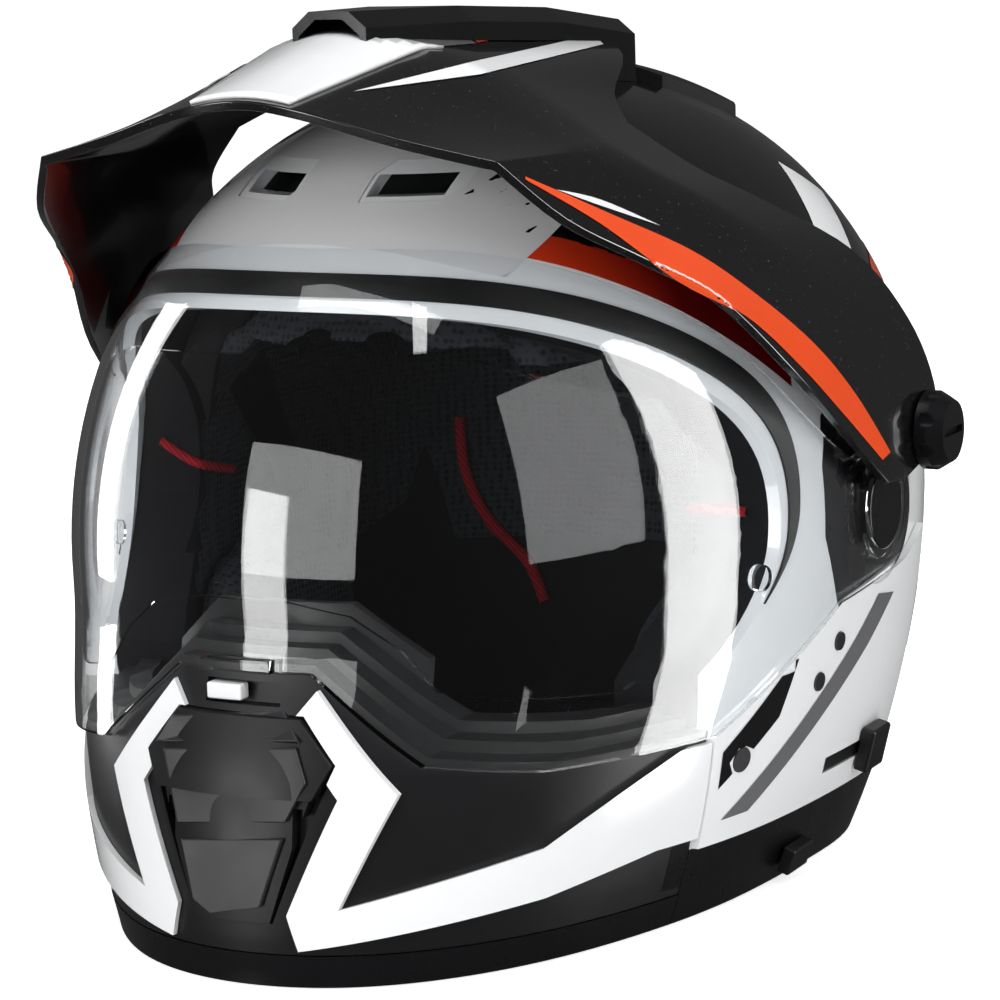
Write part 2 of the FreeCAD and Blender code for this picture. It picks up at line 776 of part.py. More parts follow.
def thick_path(path, wall):
    """The outline of a strip of even thickness above a path of (x, z) that runs towards -X."""
    inner = []
    for i, (x, z) in enumerate(path):
        before = path[max(i - 1, 0)]
        after = path[min(i + 1, len(path) - 1)]
        way = Vector(after[0] - before[0], after[1] - before[1], 0).normalize()
        inner.append((x + way.y * wall, z - way.x * wall))
    return path + list(reversed(inner))


STRAP_ROOT = 107.4


def strap(side):
    """Chin strap half: from its rivet inside the trim down and across under the chin."""
    end = 26.0 if side > 0 else -10.0
    low = 6.0
    path = [(STRAP_ROOT, 24.4), (STRAP_ROOT, 18.4), (98.0, 13.6), (72.0, 9.5), (44.0, low),
            (end * side, low)]
    half = size("strap_width") / 2.0
    body = front_polygon(thick_path(path, size("strap_wall")), -half, half)
    return body if side > 0 else mirrored(body)


def strap_anchors():
    start = STRAP_ROOT - size("strap_wall") - size("seat_gap")
    rivets = [rod((side * start, 0, 21.6), (-side, 0, 0), 2.2, 0.9) for side in (-1, 1)]
    return Part.makeCompound(rivets)


def peak_net():
    """Outer face of the peak's left half: stations from the middle of the nose to the arm's end,
    each with a point on the front or lower edge, one on the crease and one on the rear edge."""
    reach = -size("peak_reach")
    nose = size("peak_nose_height")
    half = size("peak_half_width")
    arm = size("arm_half_width")
    knob_y, knob_z = size("knob_back"), size("knob_height")
    return [
        [(0, reach, nose), (0, reach + 60, nose + 16), (0, 34, nose + 9)],
        [(22, reach, nose - 3), (32, reach + 68, nose + 9), (40, 26, nose + 5)],
        [(half - 29, reach + 5, nose - 11), (half - 19, reach + 73, nose - 4), (half - 19, -18, nose - 7)],
        [(half, reach + 12, nose - 18), (half + 7, reach + 70, nose - 19), (half - 7, -34, nose - 15)],
        [(half + 14, reach + 28, nose - 36), (half + 16, reach + 80, nose - 27), (half + 11, -22, nose - 30)],
        [(arm - 35, reach + 56, nose - 51), (arm - 35, reach + 103, nose - 40), (arm - 37, -2, nose - 42)],
        [(arm - 23, reach + 80, nose - 65), (arm - 23, -26, nose - 56), (arm - 19, knob_y - 14, nose - 61)],
        [(arm - 10, reach + 108, knob_z + 29), (arm - 9, 0, knob_z + 37), (arm - 6, knob_y, knob_z + 37)],
        [(arm - 3, -3, knob_z - 2), (arm - 2, 18, knob_z + 11), (arm, knob_y + 8, knob_z + 14)],
        [(arm, 8, knob_z - 12), (arm, 24, knob_z - 13), (arm, knob_y + 10, knob_z - 7)],
    ]


NOSE_CORNER = 3
NET_STEPS = 3


def between(before, here, after, beyond, share):
    """A place on the smooth curve through four points, between the middle two."""
    bend = (after - before) * share
    bend += (before * 2 - here * 5 + after * 4 - beyond) * share ** 2
    bend += (here * 3 - before - after * 3 + beyond) * share ** 3
    return here + bend * 0.5


def smooth_rows(rows):
    """More rows between rows of points, on smooth curves from one to the next."""
    finer = []
    for i in range(len(rows) - 1):
        before, beyond = rows[max(i - 1, 0)], rows[min(i + 2, len(rows) - 1)]
        for step in range(NET_STEPS):
            share = step / NET_STEPS
            finer.append([between(*points, share) for points in zip(before, rows[i], rows[i + 1], beyond)])
    return finer + [rows[-1]]


def net_points():
    """The whole outer face: the nose is one smooth run from corner to corner, and so is each arm.
    Each half of a row, before and behind its crease, has a point in its middle."""
    half = [[Vector(*point) for point in row] for row in peak_net()]
    flip = [[Vector(-p.x, p.y, p.z) for p in row] for row in half]
    nose = smooth_rows(flip[NOSE_CORNER:0:-1] + half[:NOSE_CORNER + 1])
    arm = smooth_rows(half[NOSE_CORNER:])
    other = [[Vector(-p.x, p.y, p.z) for p in row] for row in reversed(arm)]
    rows = other[:-1] + nose + arm[1:]
    return [[a, (a + b) * 0.5, b, (b + c) * 0.5, c] for a, b, c in rows]


def net_normals(rows):
    """Average direction of the facets round each point of the net, away from the head."""
    normals = [[Vector(0, 0, 0) for _ in row] for row in rows]
    for i, j, a, b, c in net_facets(rows):
        way = (b - a).cross(c - a)
        for k, l in ((i, j), (i + 1, j), (i, j + 1), (i + 1, j + 1)):
            normals[k][l] = normals[k][l] + way
    return [[way.normalize() for way in row] for row in normals]


def net_facets(rows):
    for i in range(len(rows) - 1):
        for j in range(len(rows[0]) - 1):
            a, b = rows[i][j], rows[i + 1][j]
            c, d = rows[i + 1][j + 1], rows[i][j + 1]
            yield i, j, a, b, c
            yield i, j, a, c, d


def triangle(a, b, c):
    return Part.Face(Part.makePolygon([a, b, c, a]))


def peak_blank(wall):
    outer = net_points()
    ways = net_normals(outer)
    inner = [[p - w * wall for p, w in zip(row, way)] for row, way in zip(outer, ways)]
    faces = [triangle(a, b, c) for _, _, a, b, c in net_facets(outer)]
    faces += [triangle(a, c, b) for _, _, a, b, c in net_facets(inner)]
    last = len(outer[0]) - 1
    for i in range(len(outer) - 1):
        for j in (0, last):
            faces.append(triangle(outer[i][j], outer[i + 1][j], inner[i + 1][j]))
            faces.append(triangle(outer[i][j], inner[i + 1][j], inner[i][j]))
    for j in range(last):
        for i in (0, len(outer) - 1):
            faces.append(triangle(outer[i][j], outer[i][j + 1], inner[i][j + 1]))
            faces.append(triangle(outer[i][j], inner[i][j + 1], inner[i][j]))
    shell = Part.makeShell(faces)
    solid = Part.makeSolid(shell)
    return solid if solid.Volume > 0 else solid.reversed()


TOP_SCREW_BACK = 24.0


def peak():
    body = peak_blank(size("peak_wall"))
    y, z = size("knob_back"), size("knob_height")
    arm = size("arm_half_width")
    foot = surface_x(y, z, plate_face()) + 1.3
    screw = size("knob_screw_radius")
    for side in (-1, 1):
        start = foot if side > 0 else -arm + 0.2
        body = body.fuse(rod((start, y, z), (1, 0, 0), screw + 1.6, arm - 0.2 - foot))
    body = body.cut(rod((-FAR, y, z), (1, 0, 0), screw + 0.2, 2 * FAR))
    for start in (arm + 0.05, -arm - 0.05 - FAR):
        body = body.cut(rod((start, y, z), (1, 0, 0), size("knob_radius") + 0.5, FAR))
    boss = rod((0, TOP_SCREW_BACK, size("shell_crown") + 0.6), (0, 0, 1), 6.0, 8.5)
    body = body.fuse(boss)
    return body.cut(rod((0, TOP_SCREW_BACK, 0), (0, 0, 1), 2.7, FAR))


def peak_top_screw():
    body = rod((0, TOP_SCREW_BACK, size("shell_crown") - 3), (0, 0, 1), 2.5, 15.6)
    head = rod((0, TOP_SCREW_BACK, size("shell_crown") + 12.4), (0, 0, 1), 4.5, 1.6)
    return body.fuse(head)


def scoop_form(inset, longer, deeper):
    """Raised air scoop along the middle of the peak, from its hump to the outlet behind."""
    stations = [(-93 - longer, 13, 25), (-40, 22, 24), (8, 29, 21), (46 + longer, 37, 15)]
    crown = size("shell_crown")
    wires = []
    for y, half, rise in stations:
        low = crown + (-6.0 if y > 0 else 4.0) - deeper
        half, top = half - inset, crown + rise - inset
        pairs = [(-half, low), (-half, top - 5), (-half + 6, top), (half - 6, top), (half, top - 5),
                 (half, low)]
        points = [Vector(x, y, z) for x, z in pairs]
        wires.append(Part.makePolygon(points + points[:1]))
    return Part.makeLoft(wires, True, True)


def peak_scoop():
    body = scoop_form(0.0, 0.0, 0.0).cut(scoop_form(2.4, 1.0, 2.0))
    clear = peak_blank(size("peak_wall") + 1.0)
    clear.translate(Vector(0, 0, size("seat_gap")))
    return largest(body.cut(clear).cut(dome(0.4, 200.0)))


def peak_centre_panel():
    """White plate laid on the nose of the peak."""
    reach = -size("peak_reach")
    outline = [(-17, reach + 2), (17, reach + 2), (29, reach + 78), (14, reach + 60), (-14, reach + 60),
               (-29, reach + 78)]
    lifted = peak_blank(0.8)
    lifted.translate(Vector(0, 0, 1.1))
    top = lifted.common(plan_polygon(outline, 200, FAR))
    return largest(top.cut(scoop_form(-size("seat_gap"), 1.0, 9.0)))


def knob_left():
    """Quarter-turn knob with eight finger flats and its screw."""
    arm = size("arm_half_width") + 0.3
    y, z = size("knob_back"), size("knob_height")
    radius, length = size("knob_radius"), size("knob_length")
    body = rod((arm, y, z), (1, 0, 0), radius, length * 0.45)
    body = body.fuse(Part.makeCone(radius, radius - 3, length * 0.55, Vector(arm + length * 0.45, y, z),
                                   Vector(1, 0, 0)))
    for flute in range(8):
        turn = math.radians(45.0 * flute + 22.5)
        spot = (arm + 1.5, y + (radius + 2.2) * math.cos(turn), z + (radius + 2.2) * math.sin(turn))
        body = body.cut(rod(spot, (1, 0, 0), 3.6, length))
    body = body.cut(box(arm + length - 1.8, FAR, y - 8, y + 8, z - 1.2, z + 1.2))
    tip = surface_x(y, z) - size("shell_wall") + 0.8
    return body.fuse(rod((tip, y, z), (1, 0, 0), size("knob_screw_radius"), arm - tip))


def rectangle_body(label, width, depth, height, round_radius):
    """A block drawn as a centred rectangle on the base plane, raised and rounded on top."""
    body = doc.addObject("PartDesign::Body", label)
    body.Label = label
    plane = [item for item in body.Origin.OriginFeatures if item.Role == "XY_Plane"][0]
    sketch = body.newObject("Sketcher::SketchObject", label + "_outline")
    sketch.AttachmentSupport = [(plane, "")]
    sketch.MapMode = "FlatFace"
    w, d = size(width) / 2.0, size(depth) / 2.0
    corners = [Vector(-w, -d, 0), Vector(w, -d, 0), Vector(w, d, 0), Vector(-w, d, 0)]
    for i in range(4):
        sketch.addGeometry(Part.LineSegment(corners[i], corners[(i + 1) % 4]), False)
    for i in range(4):
        sketch.addConstraint(Sketcher.Constraint("Coincident", i, 2, (i + 1) % 4, 1))
    for i, kind in enumerate(("Horizontal", "Vertical", "Horizontal", "Vertical")):
        sketch.addConstraint(Sketcher.Constraint(kind, i))
    sketch.addConstraint(Sketcher.Constraint("Symmetric", 0, 1, 2, 1, -1, 1))
    wide = sketch.addConstraint(Sketcher.Constraint("DistanceX", 0, 1, 0, 2, 2 * w))
    deep = sketch.addConstraint(Sketcher.Constraint("DistanceY", 1, 1, 1, 2, 2 * d))
    sketch.setExpression("Constraints[%d]" % wide, "sizes.%s" % width)
    sketch.setExpression("Constraints[%d]" % deep, "sizes.%s" % depth)
    pad = body.newObject("PartDesign::Pad", label + "_pad")
    pad.Profile = sketch
    pad.setExpression("Length", "sizes.%s" % height)
    doc.recompute()
    rounding = body.newObject("PartDesign::Fillet", label + "_edges")
    top = pad.Shape.BoundBox.ZMax
    names = ["Edge%d" % (i + 1) for i, edge in enumerate(pad.Shape.Edges) if edge.BoundBox.ZMax > top - 0.01]
    rounding.Base = (pad, names)
    rounding.Radius = round_radius
    body.Tip = rounding
    doc.recompute()
    return body


def placed(item, position, axis=Vector(0, 0, 1), degrees=0.0):
    item.Placement = FreeCAD.Placement(Vector(*position), FreeCAD.Rotation(axis, degrees))
    return item


def seated(item, y, z, grow, side):
    """Put a block flat on the side of the form, leaning with it but square to the Y axis."""
    way = normal_at(y, z)
    lean = math.degrees(math.atan2(-way.z, way.x))
    spot = Vector(surface_x(y, z, grow), y, z) + way * 2 * size("seat_gap")
    return placed(item, (side * spot.x, spot.y, spot.z), Vector(0, 1, 0), side * (90.0 + lean))


def buckle_frame():
    body = box(-13, 27, -15, 15, 4.2, 10.2)
    body = body.cut(box(-20, 12, -12.6, 12.6, 5.6, 8.6))
    body = body.cut(box(16, 40, -12.6, 12.6, 5.4, 8.2))
    body = body.cut(box(-8, 10, -11, 11, 8.0, 20))
    return body


def ratchet_tongue():
    """Toothed end of the right strap, inside the buckle."""
    body = box(-9.5, 9.0, -11.5, 11.5, 5.9, 7.1)
    for tooth in range(8):
        start = -8.0 + 2.0 * tooth
        body = body.fuse(box(start, start + 0.9, -10, 10, 7.1, 7.6))
    return body.removeSplitter()


def buckle_lever():
    """Release lever over the buckle's window, hinged at its strap end."""
    body = box(-12.5, 11.5, -10.5, 10.5, 10.6, 12.4)
    body = body.fuse(box(-12.5, -10.0, -10.5, 10.5, 10.6, 13.6))
    knuckle = rod((11.5, -10.5, 11.6), (0, 1, 0), 1.3, 21)
    return body.fuse(knuckle)


FORM_PIECES = [
    ("outer_shell", outer_shell), ("eps_liner", eps_liner), ("sun_visor", sun_visor),
    ("eyeport_gasket", eyeport_gasket), ("face_shield", face_shield), ("antifog_lens", antifog_lens),
    ("lens_pins", lens_pins), ("chin_bar", chin_bar), ("chin_liner", chin_liner),
    ("chin_seal", chin_seal), ("breath_guard", breath_guard), ("chin_curtain", chin_curtain),
    ("chin_trim", chin_trim), ("bottom_trim", bottom_trim), ("chin_vent_cover", chin_vent_cover),
    ("side_cover_left", side_cover_left), ("side_plugs", side_plugs), ("crown_pad", crown_pad),
    ("brow_pad", brow_pad), ("neck_roll", neck_roll), ("rear_vent_cover", rear_vent_cover),
    ("top_vent_base", top_vent_base), ("strap_anchors", strap_anchors), ("sun_lever_rail", sun_lever_rail),
    ("peak", peak),
    ("peak_top_screw", peak_top_screw), ("buckle_frame", buckle_frame),
    ("ratchet_tongue", ratchet_tongue), ("buckle_lever", buckle_lever),
]
PAIRED_PIECES = [
    ("side_plate", side_plate), ("shield_hub", shield_hub), ("ratchet_strip", ratchet_strip),
    ("chin_strip", chin_strip), ("cheek_pad", cheek_pad), ("peak_knob", knob_left),
]

items = [add(label, build()) for label, build in FORM_PIECES]
for label, build in PAIRED_PIECES:
    shape = build()
    items.append(add(label + "_left", shape))
    items.append(add(label + "_right", mirrored(shape)))
items.append(add("side_cover_right", mirrored(side_cover())))
items.append(add("strap_left", strap(1)))
items.append(add("strap_right", strap(-1)))
items.append(add("peak_scoop", peak_scoop()))
items.append(add("peak_centre_panel", peak_centre_panel()))

lever = rectangle_body("sun_lever", "lever_width", "lever_width", "lever_height", 1.2)
items.append(seated(lever, LEVER_BACK, LEVER_HEIGHT, COVER_HEIGHT, 1))
switch = rectangle_body("chin_vent_switch", "switch_width", "switch_depth", "switch_height", 0.8)
switch_back = surface_y(0, 84.0, -4.2)
items.append(placed(switch, (-6.0, switch_back, 87.0), Vector(1, 0, 0), 90.0))
slider = rectangle_body("top_vent_slider", "slider_width", "slider_depth", "slider_height", 1.0)
vent_top = size("shell_crown") + 4.3
items.append(placed(slider, (0.0, 60.0, vent_top - 1.0)))
for side, label in ((1, "release_left"), (-1, "release_right")):
    tab = rectangle_body(label, "release_height", "release_length", "release_thickness", 0.8)
    items.append(seated(tab, -8.0, 8.0, 0.4, side))

doc.recompute()
for item in doc.Objects:
    if "Invalid" in item.State or "Error" in item.State:
        raise RuntimeError("failed: %s" % item.Label)
for item in items:
    if item.Shape.isNull() or not item.Shape.isValid():
        raise RuntimeError("no valid shape: %s" % item.Label)

os.makedirs("parts", exist_ok=True)
for item in items:
    item.Shape.exportStep("parts/%s.step" % item.Label)
    print("%-20s %9.1f mm3, %d solids" % (item.Label, item.Shape.Volume, len(item.Shape.Solids)))
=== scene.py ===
import math

import bmesh
import bpy
from mathutils import Matrix, Vector
from mathutils.bvhtree import BVHTree


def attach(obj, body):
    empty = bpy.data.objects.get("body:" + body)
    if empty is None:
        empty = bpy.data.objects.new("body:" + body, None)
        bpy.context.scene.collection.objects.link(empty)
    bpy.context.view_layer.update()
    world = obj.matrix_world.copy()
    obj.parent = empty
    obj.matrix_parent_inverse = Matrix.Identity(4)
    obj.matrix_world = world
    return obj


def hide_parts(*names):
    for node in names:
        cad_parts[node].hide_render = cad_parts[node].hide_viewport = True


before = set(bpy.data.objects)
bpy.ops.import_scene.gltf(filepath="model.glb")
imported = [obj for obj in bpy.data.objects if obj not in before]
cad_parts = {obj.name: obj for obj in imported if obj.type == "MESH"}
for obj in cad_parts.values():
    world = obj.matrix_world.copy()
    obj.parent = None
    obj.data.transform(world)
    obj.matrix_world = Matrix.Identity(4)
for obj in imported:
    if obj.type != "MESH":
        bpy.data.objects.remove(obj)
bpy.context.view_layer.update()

MM = 0.001
HELMET = "helmet"

# The camera stands where the photograph was taken from

AZIMUTH, ELEVATION, ROLL = math.radians(28.0), math.radians(10.4), math.radians(-1.9)
DISTANCE, AIM_HEIGHT, FOCAL_PIXELS, SENSOR = 1.19, 0.115, 3470.0, 36.0
away = Vector((math.sin(AZIMUTH) * math.cos(ELEVATION), -math.cos(AZIMUTH) * math.cos(ELEVATION),
               math.sin(ELEVATION)))
level_right = Vector((math.cos(AZIMUTH), math.sin(AZIMUTH), 0.0))
level_up = away.cross(level_right)
right = level_right * math.cos(ROLL) + level_up * math.sin(ROLL)
up = level_up * math.cos(ROLL) - level_right * math.sin(ROLL)
camera_data = bpy.data.cameras.new("camera")
camera_data.sensor_width = SENSOR
camera_data.lens = FOCAL_PIXELS * SENSOR / 1000.0
camera = bpy.data.objects.new("camera", camera_data)
spot = away * DISTANCE + up * AIM_HEIGHT
camera.matrix_world = Matrix(((right.x, up.x, away.x, spot.x), (right.y, up.y, away.y, spot.y),
                              (right.z, up.z, away.z, spot.z), (0.0, 0.0, 0.0, 1.0)))
bpy.context.scene.collection.objects.link(camera)
bpy.context.scene.camera = camera
bpy.context.scene.view_settings.view_transform = "Standard"


# Materials


class Nodes:
    """Short ways to add nodes to one material."""

    def __init__(self, name):
        self.material = bpy.data.materials.new(name)
        self.material.use_nodes = True
        self.tree = self.material.node_tree
        self.shader = self.tree.nodes["Principled BSDF"]
        self.output = self.tree.nodes["Material Output"]
        self.place = self.tree.nodes.new("ShaderNodeTexCoord").outputs["Object"]

    def add(self, kind, **values):
        node = self.tree.nodes.new(kind)
        for name, value in values.items():
            setattr(node, name, value)
        return node

    def link(self, source, target):
        self.tree.links.new(source, target)

    def noise(self, scale, detail=4.0):
        node = self.add("ShaderNodeTexNoise")
        node.inputs["Scale"].default_value = scale
        node.inputs["Detail"].default_value = detail
        self.link(self.place, node.inputs["Vector"])
        return node.outputs["Fac"]

    def cells(self, scale, randomness=1.0, output="Distance"):
        node = self.add("ShaderNodeTexVoronoi")
        node.inputs["Scale"].default_value = scale
        node.inputs["Randomness"].default_value = randomness
        self.link(self.place, node.inputs["Vector"])
        return node.outputs[output]

    def ramp(self, source, low, high, first, last):
        node = self.add("ShaderNodeMapRange")
        node.inputs["From Min"].default_value = low
        node.inputs["From Max"].default_value = high
        node.inputs["To Min"].default_value = first
        node.inputs["To Max"].default_value = last
        self.link(source, node.inputs["Value"])
        return node.outputs["Result"]

    def mix(self, factor, first, second):
        node = self.add("ShaderNodeMix", data_type="RGBA")
        self.link(factor, node.inputs["Factor"])
        for socket, value in ((node.inputs[6], first), (node.inputs[7], second)):
            if isinstance(value, tuple):
                socket.default_value = value + (1.0,)
            else:
                self.link(value, socket)
        return node.outputs[2]

    def bump(self, height, strength, distance):
        node = self.add("ShaderNodeBump")
        node.inputs["Strength"].default_value = strength
        node.inputs["Distance"].default_value = distance
        self.link(height, node.inputs["Height"])
        self.link(node.outputs["Normal"], self.shader.inputs["Normal"])

    def settle(self, **values):
        for name, value in values.items():
            self.shader.inputs[name.replace("_", " ")].default_value = value
        return self.material


def shaded(name, colour, roughness, spread=0.05, grain=900.0, depth=0.00003, coat=0.0, metallic=0.0,
           shine=0.5):
    """Moulded or painted finish: slight colour drift, uneven roughness and a fine grain."""
    nodes = Nodes(name)
    drift = nodes.ramp(nodes.noise(14.0), 0.3, 0.7, 0.0, 1.0)
    darker = tuple(channel * (1.0 - spread) for channel in colour)
    nodes.link(nodes.mix(drift, darker, colour), nodes.shader.inputs["Base Color"])
    rough = nodes.ramp(nodes.noise(60.0), 0.3, 0.7, roughness * 0.9, roughness * 1.1)
    nodes.link(rough, nodes.shader.inputs["Roughness"])
    nodes.bump(nodes.noise(grain, 2.0), 0.25, depth)
    return nodes.settle(Coat_Weight=coat, Coat_Roughness=0.03, Metallic=metallic,
                        Specular_IOR_Level=shine)


def flake_black(name):
    """Black lacquer with fine silver flakes."""
    nodes = Nodes(name)
    flakes = nodes.ramp(nodes.cells(900.0), 0.0, 0.16, 1.0, 0.0)
    thin = nodes.ramp(nodes.noise(420.0, 1.0), 0.56, 0.64, 0.0, 1.0)
    both = nodes.add("ShaderNodeMath", operation="MULTIPLY")
    nodes.link(flakes, both.inputs[0])
    nodes.link(thin, both.inputs[1])
    nodes.link(nodes.mix(both.outputs[0], (0.003, 0.003, 0.0035), (0.45, 0.45, 0.47)),
               nodes.shader.inputs["Base Color"])
    return nodes.settle(Roughness=0.22, Coat_Weight=1.0, Coat_Roughness=0.02)


def mesh_fabric(name, colour, cell=420.0):
    """Knitted spacer mesh: rows of small round holes in soft yarn."""
    nodes = Nodes(name)
    holes = nodes.ramp(nodes.cells(cell, 0.25), 0.18, 0.52, 0.0, 1.0)
    dark = tuple(channel * 0.25 for channel in colour)
    nodes.link(nodes.mix(holes, dark, colour), nodes.shader.inputs["Base Color"])
    nodes.bump(holes, 0.8, 0.0005)
    return nodes.settle(Roughness=0.9, Specular_IOR_Level=0.15)


def webbing_cloth(name, colour):
    """Cloth woven in fine slanting ribs."""
    nodes = Nodes(name)
    weave = nodes.add("ShaderNodeTexWave", wave_type="BANDS", bands_direction="DIAGONAL")
    weave.inputs["Scale"].default_value = 260.0
    nodes.link(nodes.place, weave.inputs["Vector"])
    dark = tuple(channel * 0.5 for channel in colour)
    nodes.link(nodes.mix(weave.outputs["Fac"], dark, colour), nodes.shader.inputs["Base Color"])
    nodes.bump(weave.outputs["Fac"], 0.6, 0.0004)
    return nodes.settle(Roughness=0.85, Specular_IOR_Level=0.2)


def clear_plastic(name, tint, shade, ior=1.45, roughness=0.0):
    """Clear moulding that lets light and shadow rays through unbent."""
    nodes = Nodes(name)
    nodes.settle(Base_Color=tint + (1.0,), Roughness=roughness, Transmission_Weight=1.0, IOR=ior)
    path = nodes.add("ShaderNodeLightPath")
    either = nodes.add("ShaderNodeMath", operation="MAXIMUM")
    nodes.link(path.outputs["Is Shadow Ray"], either.inputs[0])
    nodes.link(path.outputs["Is Diffuse Ray"], either.inputs[1])
    through = nodes.add("ShaderNodeBsdfTransparent")
    through.inputs["Color"].default_value = shade + (1.0,)
    both = nodes.add("ShaderNodeMixShader")
    nodes.link(either.outputs[0], both.inputs["Fac"])
    nodes.link(nodes.shader.outputs["BSDF"], both.inputs[1])
    nodes.link(through.outputs["BSDF"], both.inputs[2])
    nodes.link(both.outputs["Shader"], nodes.output.inputs["Surface"])
    return nodes.material


def red_fade(name, first, last, near, far):
    """Red lacquer that darkens from the brow towards the ear."""
    nodes = Nodes(name)
    split = nodes.add("ShaderNodeSeparateXYZ")
    nodes.link(nodes.place, split.inputs[0])
    along = nodes.ramp(split.outputs["Y"], near * 0.001, far * 0.001, 0.0, 1.0)
    nodes.link(nodes.mix(along, first, last), nodes.shader.inputs["Base Color"])
    nodes.bump(nodes.noise(500.0, 2.0), 0.25, 0.00001)
    return nodes.settle(Roughness=0.18, Coat_Weight=0.6, Coat_Roughness=0.03)


white_gloss = shaded("white_lacquer", (0.80, 0.81, 0.82), 0.16, 0.03, 500.0, 0.00001, coat=0.6)
# Painted shade: a light grey standing in for the peak's shadow on the white forehead
brow_shade_grey = shaded("brow_painted_shade_lacquer", (0.72, 0.72, 0.73), 0.22, 0.05, 700.0, 0.00001, coat=0.6)
black_gloss = flake_black("black_flake_lacquer")
plain_black = shaded("black_lacquer", (0.003, 0.003, 0.0035), 0.15, 0.2, 500.0, 0.00001, coat=0.8)
matt_black = shaded("black_moulding", (0.008, 0.008, 0.009), 0.42, 0.2, 1500.0, 0.00006, shine=0.4)
satin_black = shaded("satin_moulding", (0.005, 0.005, 0.006), 0.28, 0.2, 1300.0, 0.00004, shine=0.45)
rubber = shaded("black_rubber", (0.006, 0.006, 0.0065), 0.45, 0.25, 1100.0, 0.00005, shine=0.35)
orange = shaded("orange_lacquer", (0.80, 0.075, 0.012), 0.18, 0.08, 500.0, 0.00001, coat=0.6)
dark_red = red_fade("fading_red_lacquer", (0.80, 0.05, 0.01), (0.13, 0.003, 0.004), -92.0, -50.0)
grey_gloss = shaded("grey_lacquer", (0.13, 0.13, 0.135), 0.2, 0.06, 500.0, 0.00001, coat=0.6)
mask_black = shaded("vent_mask_moulding", (0.02, 0.02, 0.022), 0.45, 0.2, 1500.0, 0.00006)
foam = shaded("black_foam", (0.008, 0.008, 0.009), 0.9, 0.3, 380.0, 0.0002, shine=0.1)
white_foam = shaded("grey_foam", (0.55, 0.56, 0.56), 0.8, 0.1, 380.0, 0.0003)
mesh_black = mesh_fabric("black_spacer_mesh", (0.022, 0.024, 0.028))
brushed = mesh_fabric("black_brushed_knit", (0.010, 0.010, 0.011), 900.0)
webbing = webbing_cloth("black_webbing", (0.02, 0.02, 0.022))
piping = webbing_cloth("red_piping_cloth", (0.34, 0.008, 0.014))
red_plastic = shaded("red_moulding", (0.5, 0.02, 0.02), 0.35, 0.1)
steel = shaded("turned_steel", (0.55, 0.55, 0.57), 0.28, 0.1, 900.0, 0.00002, metallic=1.0)
dark_steel = shaded("dark_screw_metal", (0.09, 0.09, 0.1), 0.3, 0.2, 900.0, 0.00003, metallic=0.8)
clear = clear_plastic("clear_shield_plastic", (0.99, 1.0, 1.0), (0.93, 0.94, 0.95), 1.42)
clear_lens = clear_plastic("clear_lens_plastic", (0.99, 0.99, 1.0), (0.94, 0.95, 0.96), 1.12)
smoke = clear_plastic("smoke_visor_plastic", (0.05, 0.05, 0.055), (0.1, 0.1, 0.11))

FINISHES = {
    white_gloss: ["outer_shell", "chin_strip_left", "chin_strip_right", "side_cover_left",
                  "side_cover_right", "chin_vent_switch"],
    plain_black: ["peak_scoop"],
    matt_black: ["chin_bar", "chin_vent_cover", "top_vent_base", "top_vent_slider", "rear_vent_cover",
                 "sun_lever", "release_left", "release_right", "sun_lever_rail"],
    satin_black: ["chin_trim", "bottom_trim", "side_plate_left", "side_plate_right", "shield_hub_left",
                  "shield_hub_right", "peak_knob_left", "peak_knob_right", "buckle_frame",
                  "ratchet_tongue"],
    rubber: ["eyeport_gasket", "chin_seal", "breath_guard"],
    foam: ["eps_liner"],
    white_foam: ["chin_liner"],
    dark_steel: ["side_plugs", "peak_top_screw"],
    steel: ["strap_anchors"],
    red_plastic: ["buckle_lever"],
    clear: ["face_shield", "ratchet_strip_left", "ratchet_strip_right", "lens_pins"],
    clear_lens: ["antifog_lens"],
    smoke: ["sun_visor"],
}
for finish, names in FINISHES.items():
    for name in names:
        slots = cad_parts[name].material_slots
        for slot in slots:
            slot.material = finish

# Pieces


def new_piece(name, mesh, body, material, smooth=True):
    """One piece of the scene, riding on a body."""
    piece = bpy.data.objects.new(name, mesh)
    bpy.context.scene.collection.objects.link(piece)
    mesh.materials.clear()
    mesh.materials.append(material)
    for face in mesh.polygons:
        face.use_smooth = smooth
    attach(piece, body)
    return piece


def tree_of(names):
    """What rays meet on some of the CAD nodes."""
    points, faces = [], []
    for name in names:
        mesh = (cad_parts.get(name) or bpy.data.objects[name]).data
        start = len(points)
        points += [vertex.co.copy() for vertex in mesh.vertices]
        faces += [[start + i for i in face.vertices] for face in mesh.polygons]
    return BVHTree.FromPolygons(points, faces)


trees = {}
VIEWS = {
    "left": (lambda u, v: Vector((0.5, u, v)), Vector((-1, 0, 0))),
    "right": (lambda u, v: Vector((-0.5, u, v)), Vector((1, 0, 0))),
    "front": (lambda u, v: Vector((u, -0.5, v)), Vector((0, 1, 0))),
    "rear": (lambda u, v: Vector((u, 0.5, v)), Vector((0, -1, 0))),
    "top": (lambda u, v: Vector((u, v, 0.6)), Vector((0, 0, -1))),
    "inner_left": (lambda u, v: Vector((0.0, u, v)), Vector((1, 0, 0))),
    "inner_right": (lambda u, v: Vector((0.0, u, v)), Vector((-1, 0, 0))),
    "inner_rear": (lambda u, v: Vector((u, 0.0, v)), Vector((0, 1, 0))),
}


def photo_ray(u, v):
    """Start and direction of the ray through a place in the thousand-wide photograph."""
    way = right * (u - 500.0) - up * (v - 500.0) - away * FOCAL_PIXELS
    return spot.copy(), way.normalized()


def tree_for(onto):
    key = tuple(onto)
    if key not in trees:
        trees[key] = tree_of(onto)
    return trees[key]


def side_ray(view, u, v):
    if view == "photo":
        return photo_ray(u, v)
    place, way = VIEWS[view]
    return place(u * MM, v * MM), way


